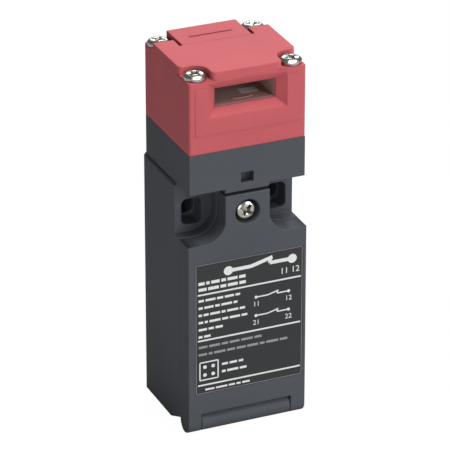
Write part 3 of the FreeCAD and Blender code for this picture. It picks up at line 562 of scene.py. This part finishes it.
class SWITCH_OT_case(bpy.types.Operator):
    """Build the moulded case"""
    bl_idname = "switch.case"
    bl_label = "Case"

    def execute(self, context):
        edges = context.scene.switch_edges
        low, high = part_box("case")
        wall, neck, rear, foot = 2.0 * MM, 9.0 * MM, 0.3 * MM, 0.2 * MM

        def outside(point, edge):
            near_side = min(point.x - low.x, high.x - point.x, high.y - point.y, high.z - point.z)
            hole_rim = high.y - point.y < rear and high.x - abs(point.x) > wall
            if hole_rim or rounded_at_rear(point, low, high):
                return 0.0
            return near_side < wall or point.y < low.y + neck or point.z < low.z + foot

        softened_node("case", "case_shell", edges.shell * 0.6, edges.steps, outside)
        return {"FINISHED"}


class SWITCH_OT_cover(bpy.types.Operator):
    """Build the hinged cover"""
    bl_idname = "switch.cover"
    bl_label = "Cover"

    def execute(self, context):
        edges = context.scene.switch_edges
        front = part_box("cover")[0].y + 2.4 * MM
        softened_node("cover", "cover_shell", edges.shell * 0.5, edges.steps,
                      lambda point, edge: point.y < front)
        return {"FINISHED"}


def plate(name, low, high):
    """A box between two corners, as a mesh primitive shaped in edit mode."""
    middle = (low + high) / 2
    select_none()
    bpy.ops.mesh.primitive_cube_add(size=1.0, location=middle)
    obj = bpy.context.active_object
    obj.scale = high - low
    obj.name = name
    settle(obj)
    return obj


class LabelField:
    """The label field: its place in the frame, and ways to print on it."""

    # heights above the cover's lowest point, the field's depth in its front, and the sheet in it
    BOTTOM, TOP = 10.9 * MM, 46.2 * MM
    SUNK, SHEET = 0.25 * MM, 0.12 * MM

    def __init__(self, label):
        low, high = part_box("cover")
        self.floor = low.y + self.SUNK
        self.ground = self.floor - self.SHEET
        self.left = low.x + label.left
        self.right = high.x - label.right
        self.bottom = low.z + self.BOTTOM
        self.top = low.z + self.TOP
        self.ink = label.ink

    def stroke(self, x0, z0, x1, z1, width, coats=1.0):
        """A straight line of print between two points, in one or more coats of ink."""
        length = math.hypot(x1 - x0, z1 - z0)
        angle = math.atan2(z1 - z0, x1 - x0)
        obj = plate("stroke", Vector((-length / 2, -self.ink * coats, -width / 2)),
                    Vector((length / 2, 0, width / 2)))
        obj.rotation_euler = Euler((0, -angle, 0))
        obj.location = Vector(((x0 + x1) / 2, self.ground, (z0 + z1) / 2))
        settle(obj)
        return obj

    def segments(self, x, z, lengths, height, gap=0.42 * MM):
        """A rule cut into segments of the given lengths, in millimetres."""
        made = []
        for length in lengths:
            made.append(self.stroke(x, z, x + length * MM, z, height))
            x += length * MM + gap
        return made

    def dot(self, x, z, radius):
        """A round terminal."""
        select_none()
        bpy.ops.mesh.primitive_cylinder_add(vertices=32, radius=radius, depth=self.ink * 1.6)
        obj = bpy.context.active_object
        obj.rotation_euler = Euler((math.radians(90), 0, 0))
        obj.location = Vector((x, self.ground - self.ink * 0.8, z))
        settle(obj)
        return obj

    def contact(self, x, z, reach, width):
        """A normally closed contact: two leads with terminals, a blade and its stop."""
        gap = reach * 0.3
        return [
            self.stroke(x - reach, z, x - gap, z, width),
            self.stroke(x + gap, z, x + reach, z, width),
            self.stroke(x - gap, z, x + gap * 1.25, z + reach * 0.17, width, 1.2),
            self.stroke(x + gap, z, x + gap, z + reach * 0.19, width, 1.4),
            self.dot(x - reach, z, width * 1.25),
            self.dot(x + reach, z, width * 1.25),
        ]

    def digits(self, text, x, z, size):
        """Plain numbers standing on the field."""
        select_none()
        bpy.ops.object.text_add(location=(0, 0, 0))
        obj = bpy.context.active_object
        obj.data.body = text
        obj.data.size = size
        obj.data.extrude = self.ink / 2
        obj.data.align_x = "CENTER"
        obj.data.align_y = "CENTER"
        obj.data.resolution_u = 6
        select_only(obj)
        bpy.ops.object.convert(target="MESH")
        obj = bpy.context.active_object
        obj.rotation_euler = Euler((math.radians(90), 0, 0))
        obj.location = Vector((x, self.ground - self.ink / 2, z))
        settle(obj)
        return obj


class SWITCH_OT_label(bpy.types.Operator):
    """Build the label field with its frame line, rules, contact symbols and terminal numbers"""
    bl_idname = "switch.label"
    bl_label = "Label field"

    def execute(self, context):
        label = context.scene.switch_label
        field = LabelField(label)
        inset = 0.06 * MM
        ground = plate("label_ground", Vector((field.left + inset, field.ground, field.bottom + inset)),
                       Vector((field.right - inset, field.floor, field.top - inset)))
        soften(ground, 0.05 * MM, 2)
        seat_piece(ground, "label_ground", "cover")
        self.frame_line(field, label)
        white = self.rules(field, label) + self.header(field, label) + self.ratings(field, label)
        white += self.diagram(field, label)
        seat_piece(join("label_print", white), "print_white", "cover")
        seat_piece(join("label_print_weak", self.weak_rules(field, label)), "print_grey", "cover")
        return {"FINISHED"}

    def frame_line(self, field, label):
        """Thin light line round the field, a painted highlight along its edge."""
        inset = 0.25 * MM
        corners = (
            (field.left + inset, field.bottom + inset), (field.right - inset, field.bottom + inset),
            (field.right - inset, field.top - inset), (field.left + inset, field.top - inset),
        )
        sides = [
            field.stroke(*corners[index], *corners[(index + 1) % 4], label.rim * 0.5)
            for index in range(4)
        ]
        seat_piece(join("label_frame", sides), "label_rim", "cover")

    def rules(self, field, label):
        """Three dividing rules across the field."""
        left = field.left + 0.7 * MM
        right = field.right - 0.6 * MM
        return [field.stroke(left, z * MM, right, z * MM, label.rule) for z in (38.0, 25.6, 13.4)]

    def header(self, field, label):
        """A bold contact symbol over two segmented rules and the terminal numbers."""
        left = field.left + 0.9 * MM
        marks = field.contact(3.4 * MM, 43.2 * MM, 8.4 * MM, 0.95 * MM)
        marks += field.segments(left, 41.0 * MM, (1.6, 0.9, 2.2, 1.2, 2.6, 1.7), label.dash * 1.3)
        marks += field.segments(left, 39.4 * MM, (2.1, 2.8, 1.5, 2.6, 1.7), label.dash * 1.3)
        marks.append(field.digits("11 12", 11.2 * MM, 40.2 * MM, label.digits))
        return marks

    def ratings(self, field, label):
        """Short segmented rules at the left, two contacts with their numbers at the right."""
        left = field.left + 0.9 * MM
        rows = ((1.4, 2.6, 1.6, 2.4, 1.2), (1.1, 2.4, 1.2, 2.8, 1.0), (0.9, 1.3, 2.6, 1.0, 2.9, 1.4),
                (1.2, 0.8, 2.9, 1.6, 2.7, 1.5), (2.2, 1.4, 1.9), (1.0, 1.7))
        marks = []
        for index, row in enumerate(rows):
            marks += field.segments(left, (36.4 - 1.95 * index) * MM, row, label.dash)
        for z, low_text, high_text in ((34.6, "11", "12"), (29.6, "21", "22")):
            marks += field.contact(6.6 * MM, z * MM, 4.3 * MM, label.line * 1.25)
            marks.append(field.digits(low_text, 2.4 * MM, (z - 1.9) * MM, label.digits * 0.8))
            marks.append(field.digits(high_text, 10.9 * MM, (z - 1.9) * MM, label.digits * 0.8))
        return marks

    def diagram(self, field, label):
        """A terminal block in plan, with short rules beside it."""
        x, z, half = field.left + 3.6 * MM, 17.2 * MM, 2.4 * MM
        corners = ((-half, -half), (half, -half), (half, half), (-half, half))
        marks = []
        for index in range(4):
            (x0, z0), (x1, z1) = corners[index], corners[(index + 1) % 4]
            marks.append(field.stroke(x + x0, z + z0, x + x1, z + z1, label.line * 1.3))
            marks.append(field.dot(x + x0 * 0.45, z + z0 * 0.45, 0.48 * MM))
        marks += field.segments(x + 3.4 * MM, 18.2 * MM, (1.6, 2.0, 1.2), label.dash)
        marks += field.segments(x + 3.4 * MM, 16.2 * MM, (1.0, 2.9, 1.8), label.dash)
        marks += field.segments(x - 1.0 * MM, 12.05 * MM, (2.4, 3.0, 1.6, 1.1, 2.0), label.dash * 0.8)
        return marks

    def weak_rules(self, field, label):
        """Two longer grey rules under the second divider."""
        left = field.left + 0.9 * MM
        upper = (2.3, 2.9, 1.7, 2.6, 3.1, 1.9)
        lower = (2.2, 1.0, 3.0, 2.1, 2.4, 2.9, 1.3, 3.2, 2.0)
        return (field.segments(left, 23.8 * MM, upper, label.dash)
                + field.segments(left, 21.8 * MM, lower, label.dash))


class SWITCH_OT_head(bpy.types.Operator):
    """Build the operating head"""
    bl_idname = "switch.head"
    bl_label = "Head"

    def execute(self, context):
        edges = context.scene.switch_edges
        low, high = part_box("head_housing")
        cap_low, cap_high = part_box("head_cap")
        near, slot_frame, closure_top = 0.35 * MM, 2.3 * MM, 0.9 * MM

        def share(point, edge):
            by_cap = (cap_low.x - near < point.x < cap_high.x + near
                      and cap_low.y - near < point.y and point.z > cap_low.z)
            if by_cap or rounded_at_rear(point, low, high):
                return 0.0
            if point.z > high.z - near:
                return 1.0
            at_side = min(point.x - low.x, high.x - point.x) < near
            if at_side and point.y < low.y + near:
                return 0.9
            outside = at_side or high.y - point.y < near
            return 0.7 if outside or point.y < low.y + slot_frame else 0.0

        softened_node("head_housing", "head_shell", edges.head, edges.steps, share)
        softened_node("head_cap", "slot_closure", edges.fine * 1.6, edges.steps,
                      lambda point, edge: point.z > high.z - closure_top)
        return {"FINISHED"}


class SWITCH_OT_slot_details(bpy.types.Operator):
    """Build the low rib, coloured pale as a painted highlight, and the pale patch on the key slot's
    floor
    """
    bl_idname = "switch.slot_details"
    bl_label = "Key slot details"

    def execute(self, context):
        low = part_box("key_guide")[0]
        floor = low.z + 0.8 * MM
        front = low.y + 1.9 * MM
        left, right, deep, wide, tall = -2.0 * MM, 3.0 * MM, 1.2 * MM, 0.42 * MM, 0.10 * MM
        # low rib in a pale pink that paints the highlight along its edges
        rib = [
            plate("rib", Vector((left, front, floor)), Vector((right, front + wide, floor + tall))),
            plate("rib", Vector((left, front + wide, floor)),
                  Vector((left + wide, front + deep, floor + tall))),
            plate("rib", Vector((right - wide, front + wide, floor)),
                  Vector((right, front + deep, floor + tall))),
        ]
        seat_piece(join("slot_rib", rib), "slot_rib", "base")
        # a thin pale sheet on the slot floor, lighter than the parts round it
        patch = plate("slot_patch", Vector((1.2 * MM, front + 2.4 * MM, floor)),
                      Vector((5.6 * MM, front + 5.2 * MM, floor + 0.05 * MM)))
        seat_piece(patch, "worn_patch", "base")
        return {"FINISHED"}


def upright_cylinder(name, radius, low, high, around):
    """A cylinder along Z between two heights."""
    select_none()
    bpy.ops.mesh.primitive_cylinder_add(vertices=around, radius=radius, depth=high - low,
                                        location=(0, 0, (low + high) / 2))
    obj = bpy.context.active_object
    obj.name = name
    settle(obj)
    return obj


def combine(target, tool, operation):
    """Cut a tool out of a mesh, or weld it on, and delete the tool."""
    change = target.modifiers.new("combine", "BOOLEAN")
    change.operation = operation
    change.solver = "EXACT"
    change.object = tool
    apply_modifier(target, change.name)
    bpy.data.objects.remove(tool, do_unlink=True)


def set_out(name, pattern, places):
    """Copies of a pattern at pairs of location and rotation, joined into one piece."""
    made = []
    for location, rotation in places:
        copy = pattern.copy()
        copy.data = pattern.data.copy()
        bpy.context.collection.objects.link(copy)
        copy.location = location
        copy.rotation_euler = rotation
        settle(copy)
        made.append(copy)
    bpy.data.objects.remove(pattern, do_unlink=True)
    return join(name, made)


def crosshead(name, radius, height, screws, dome=0.42):
    """A pan head with a cross recess, standing on Z = 0 with its top up."""
    rings = 7
    ring_share = 0.09
    head = upright_cylinder(name, radius, 0.0, height, screws.around)
    select_only(head)
    bpy.ops.object.mode_set(mode="EDIT")
    pick_faces(head, lambda middle, normal: normal.z > 0.9)
    for _ in range(rings):
        bpy.ops.mesh.inset(thickness=radius * ring_share, depth=0.0)
    bpy.ops.object.mode_set(mode="OBJECT")

    def crown(mesh):
        for vert in mesh.verts:
            if vert.co.z > height - TINY:
                share = math.hypot(vert.co.x, vert.co.y) / radius
                vert.co.z -= height * dome * share ** 5.0

    edit_mesh(head, crown)
    combine(head, recess_cutter(screws, height), "DIFFERENCE")
    return head


def recess_cutter(screws, top):
    """The solid that a cross driver would fill: four tapering wings and a pointed core."""
    above, tip = 0.3 * MM, 0.25 * MM
    along, across = 0.42, 0.7
    middle = (0, 0, top - screws.depth / 2 + above / 2)
    wings = []
    for turn in (0.0, 90.0):
        select_none()
        bpy.ops.mesh.primitive_cube_add(size=1.0, location=middle)
        wing = bpy.context.active_object
        wing.scale = (screws.recess, screws.wing, screws.depth + above)
        wing.rotation_euler = Euler((0, 0, math.radians(turn)))
        settle(wing)
        floor = top - screws.depth + TINY

        def taper(mesh, floor=floor):
            for vert in mesh.verts:
                if vert.co.z < floor:
                    vert.co.x *= along if abs(vert.co.x) > screws.wing else across
                    vert.co.y *= along if abs(vert.co.y) > screws.wing else across

        edit_mesh(wing, taper)
        wings.append(wing)
    select_none()
    bpy.ops.mesh.primitive_cone_add(vertices=24, radius1=tip, radius2=screws.wing * 1.25,
                                    depth=screws.depth + above, location=middle)
    core = bpy.context.active_object
    settle(core)
    for wing in wings:
        combine(core, wing, "UNION")
    return core


def shank(radius, length):
    """A smooth shank that hangs from Z = 0, its length counted to the tip of its taper."""
    taper = 0.35
    obj = upright_cylinder("shank", radius, radius * taper - length, 0.0, 32)
    select_only(obj)
    bpy.ops.object.mode_set(mode="EDIT")
    pick_faces(obj, lambda middle, normal: normal.z < -0.9)
    bpy.ops.mesh.inset(thickness=radius * taper, depth=0.0)
    bpy.ops.transform.translate(value=(0, 0, -radius * taper))
    bpy.ops.object.mode_set(mode="OBJECT")
    smooth(obj)
    return obj


class SWITCH_OT_head_screws(bpy.types.Operator):
    """Build the four crosshead screws of the head"""
    bl_idname = "switch.head_screws"
    bl_label = "Head screws"

    def execute(self, context):
        screws = context.scene.switch_screws
        low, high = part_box("head_screws")
        radius, sunk = 2.7 * MM, 2.0 * MM
        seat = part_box("head_housing")[1].z - sunk
        head = soften(crosshead("head_screw", radius, high.z - seat, screws), CROSSHEAD_EDGE, 2)
        pattern = join("head_screw", [head, shank(SHANK_RADIUS, seat - low.z)])
        turns = {(-1, -1): 28.0, (1, -1): 12.0, (-1, 1): 52.0, (1, 1): 70.0}
        places = [
            (Vector(((high.x - radius) * sign_x, (high.y - radius) * sign_y, seat)),
             Euler((0, 0, math.radians(turn))))
            for (sign_x, sign_y), turn in turns.items()
        ]
        screw_set = set_out("head_screw_set", pattern, places)
        seat_piece(screw_set, "nickel", "base", ("head_screws",))
        return {"FINISHED"}


class SWITCH_OT_cover_screw(bpy.types.Operator):
    """Build the captive screw of the cover"""
    bl_idname = "switch.cover_screw"
    bl_label = "Cover screw"

    def execute(self, context):
        screws = context.scene.switch_screws
        low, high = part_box("cover_screw")
        radius = (high.x - low.x) / 2
        height, stem_radius, flat_dome = 2.0 * MM, 2.0 * MM, 0.24
        head = crosshead("cover_screw_head", radius, height, screws, flat_dome)
        soften(head, CROSSHEAD_EDGE, 2)
        screw = join("captive_screw", [head, shank(stem_radius, high.y - low.y - height)])
        screw.rotation_euler = Euler((math.radians(90), math.radians(38), 0), "XYZ")
        screw.location = Vector(((low.x + high.x) / 2, low.y + height, (low.z + high.z) / 2))
        settle(screw)
        seat_piece(screw, "nickel", "lock", ("cover_screw",))
        return {"FINISHED"}


class SWITCH_OT_inner_parts(bpy.types.Operator):
    """Round and finish the contact block, its terminals and the cam"""
    bl_idname = "switch.inner_parts"
    bl_label = "Inner parts"

    def execute(self, context):
        edges = context.scene.switch_edges
        for node in ("contact_housing", "contact_carrier", "terminals", "terminal_clamps",
                     "operating_cam", "cover_screw_insert", "cover_screw_ring", "contact_bridges",
                     "plunger", "plunger_seal", "cover_gasket", "head_gasket", "cam_shaft"):
            softened_node(node, node + "_finished", edges.fine, 2)
        return {"FINISHED"}


def slotted_screw(name, radius, height, stem_radius, stem_length):
    """A cheese head with a straight slot, top up, standing on Z = 0."""
    half_slot = 0.35 * MM
    head = upright_cylinder(name, radius, 0.0, height, 48)
    slot = plate("slot", Vector((-radius * 1.2, -half_slot, height * 0.45)),
                 Vector((radius * 1.2, half_slot, height * 1.3)))
    combine(head, slot, "DIFFERENCE")
    soften(head, 0.07 * MM, 2)
    return join(name, [head, shank(stem_radius, stem_length)])


class SWITCH_OT_small_screws(bpy.types.Operator):
    """Build the terminal screws and the contact block's fixing screws"""
    bl_idname = "switch.small_screws"
    bl_label = "Small screws"

    def execute(self, context):
        radius, height = 2.3 * MM, 1.6 * MM
        for node, name, rows in (
            ("terminal_screws", "terminal_screw_set", 2), ("housing_screws", "fixing_screw_set", 1),
        ):
            low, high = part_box(node)
            pattern = slotted_screw(name, radius, height, SHANK_RADIUS, high.y - low.y - height)
            places = []
            for column, x in enumerate((low.x + radius, high.x - radius)):
                for row, z in list(enumerate((low.z + radius, high.z - radius)))[:rows]:
                    turn = math.radians(17 + 41 * column + 67 * row)
                    places.append((Vector((x, low.y + height, z)),
                                   Euler((math.radians(90), turn, 0), "XYZ")))
            seat_piece(set_out(name, pattern, places), "nickel", "base", (node,))
        return {"FINISHED"}


class SWITCH_OT_kept_nodes(bpy.types.Operator):
    """Give every CAD node that stays in view its finish"""
    bl_idname = "switch.kept_nodes"
    bl_label = "Kept nodes"

    def execute(self, context):
        for name, node in frame["nodes"].items():
            node.data.materials.clear()
            node.data.materials.append(MATERIALS[SLOT_OF[name]])
        return {"FINISHED"}


# ---------------------------------------------------------------- stage


def backdrop_white(name):
    """Floor finish: nearly all white to the camera and through clear things, plain pale to light."""
    finish = Finish(name)
    camera = finish.node("ShaderNodeLightPath", output="Is Camera Ray")
    through = finish.node("ShaderNodeLightPath", output="Is Transmission Ray")
    finish.set(Base_Color=finish.tint((0.52, 0.52, 0.52), finish.noise(9.0, 2.0), 0.99, 1.0),
               Roughness=0.9, Specular_IOR_Level=0.1)
    glow = finish.node("ShaderNodeEmission", None, {"Color": WHITE, "Strength": 1.045})
    mixer = finish.node("ShaderNodeMixShader", None, {
        0: camera.larger(through) * 0.94, 1: Wire(finish.tree, finish.shader.outputs[0]), 2: glow,
    })
    feed(finish.tree, finish.tree.nodes["Material Output"].inputs["Surface"], mixer)
    return finish.material


def lamp(name, place, width, height, power, diffuse):
    """A soft rectangular lamp aimed at the middle of the switch."""
    data = bpy.data.lights.new(name, "AREA")
    data.shape = "RECTANGLE"
    data.size = width
    data.size_y = height
    data.energy = power
    data.diffuse_factor = diffuse
    obj = bpy.data.objects.new(name, data)
    bpy.context.collection.objects.link(obj)
    obj.location = place
    obj.rotation_euler = (LAMP_AIM - place).to_track_quat("-Z", "Y").to_euler()


class SWITCH_OT_stage(bpy.types.Operator):
    """Set up floor, light and camera"""
    bl_idname = "switch.stage"
    bl_label = "Stage"

    def execute(self, context):
        stage = context.scene.switch_stage
        scene = context.scene
        scene.view_settings.view_transform = "Standard"
        self.floor()
        self.sky(scene, stage)
        for name, place, (width, height), diffuse in LAMPS:
            lamp(name, Vector(place), width, height, getattr(stage, name), diffuse)
        self.camera(scene, stage)
        return {"FINISHED"}

    def floor(self):
        select_none()
        bpy.ops.mesh.primitive_plane_add(size=6.0, location=(0, 0, 0))
        floor = bpy.context.active_object
        floor.name = "floor"
        floor.data.materials.append(backdrop_white("floor_white"))

    def sky(self, scene, stage):
        """Even light from all round; white where the camera sees past the floor."""
        world = bpy.data.worlds.new("soft_room")
        scene.world = world
        world.use_nodes = True
        tree = world.node_tree
        even = tree.nodes["Background"]
        even.inputs["Color"].default_value = WHITE
        even.inputs["Strength"].default_value = stage.sky
        white = make_node(tree, "ShaderNodeBackground", None, {"Color": WHITE, "Strength": 1.0})
        seen = make_node(tree, "ShaderNodeLightPath", output="Is Camera Ray")
        mixer = make_node(tree, "ShaderNodeMixShader", None, {
            0: seen, 1: Wire(tree, even.outputs[0]), 2: white,
        })
        feed(tree, tree.nodes["World Output"].inputs["Surface"], mixer)

    def camera(self, scene, stage):
        data = bpy.data.cameras.new("camera")
        data.lens = stage.lens
        data.sensor_width = 36.0
        data.clip_start = 0.01
        data.clip_end = 50.0
        obj = bpy.data.objects.new("camera", data)
        bpy.context.collection.objects.link(obj)
        back = Vector((
            math.sin(stage.azimuth) * math.cos(stage.elevation),
            -math.cos(stage.azimuth) * math.cos(stage.elevation),
            math.sin(stage.elevation),
        ))
        obj.location = Vector((stage.aim_x, 0, stage.aim_z)) + back * stage.distance
        obj.rotation_euler = (-back).to_track_quat("-Z", "Y").to_euler()
        scene.camera = obj


# ---------------------------------------------------------------- add-on


GROUPS = {
    "switch_colours": SwitchColours,
    "switch_edges": SwitchEdges,
    "switch_screws": SwitchScrews,
    "switch_label": SwitchLabel,
    "switch_stage": SwitchStage,
}
STEPS = (
    SWITCH_OT_kept_nodes,
    SWITCH_OT_case,
    SWITCH_OT_cover,
    SWITCH_OT_label,
    SWITCH_OT_head,
    SWITCH_OT_slot_details,
    SWITCH_OT_head_screws,
    SWITCH_OT_cover_screw,
    SWITCH_OT_inner_parts,
    SWITCH_OT_small_screws,
    SWITCH_OT_stage,
)


class SWITCH_PT_panel(bpy.types.Panel):
    """Lists the switch's settings and building steps"""
    bl_idname = "SWITCH_PT_panel"
    bl_label = "Interlock switch"
    bl_space_type = "VIEW_3D"
    bl_region_type = "UI"
    bl_category = "Switch"

    def draw(self, context):
        for name, group in GROUPS.items():
            box = self.layout.box()
            for prop in group.__annotations__:
                box.prop(getattr(context.scene, name), prop)
        for step in STEPS:
            self.layout.operator(step.bl_idname)


def register():
    for group in GROUPS.values():
        bpy.utils.register_class(group)
    for name, group in GROUPS.items():
        setattr(bpy.types.Scene, name, PointerProperty(type=group))
    for step in STEPS:
        bpy.utils.register_class(step)
    bpy.utils.register_class(SWITCH_PT_panel)


def unregister():
    bpy.utils.unregister_class(SWITCH_PT_panel)
    for step in reversed(STEPS):
        bpy.utils.unregister_class(step)
    for name, group in GROUPS.items():
        delattr(bpy.types.Scene, name)
        bpy.utils.unregister_class(group)


def main():
    """Register, make the finishes and build every piece in order."""
    register()
    make_materials(bpy.context.scene.switch_colours)
    for step in STEPS:
        family, name = step.bl_idname.split(".")
        getattr(getattr(bpy.ops, family), name)()


if __name__ == "__main__":
    main()
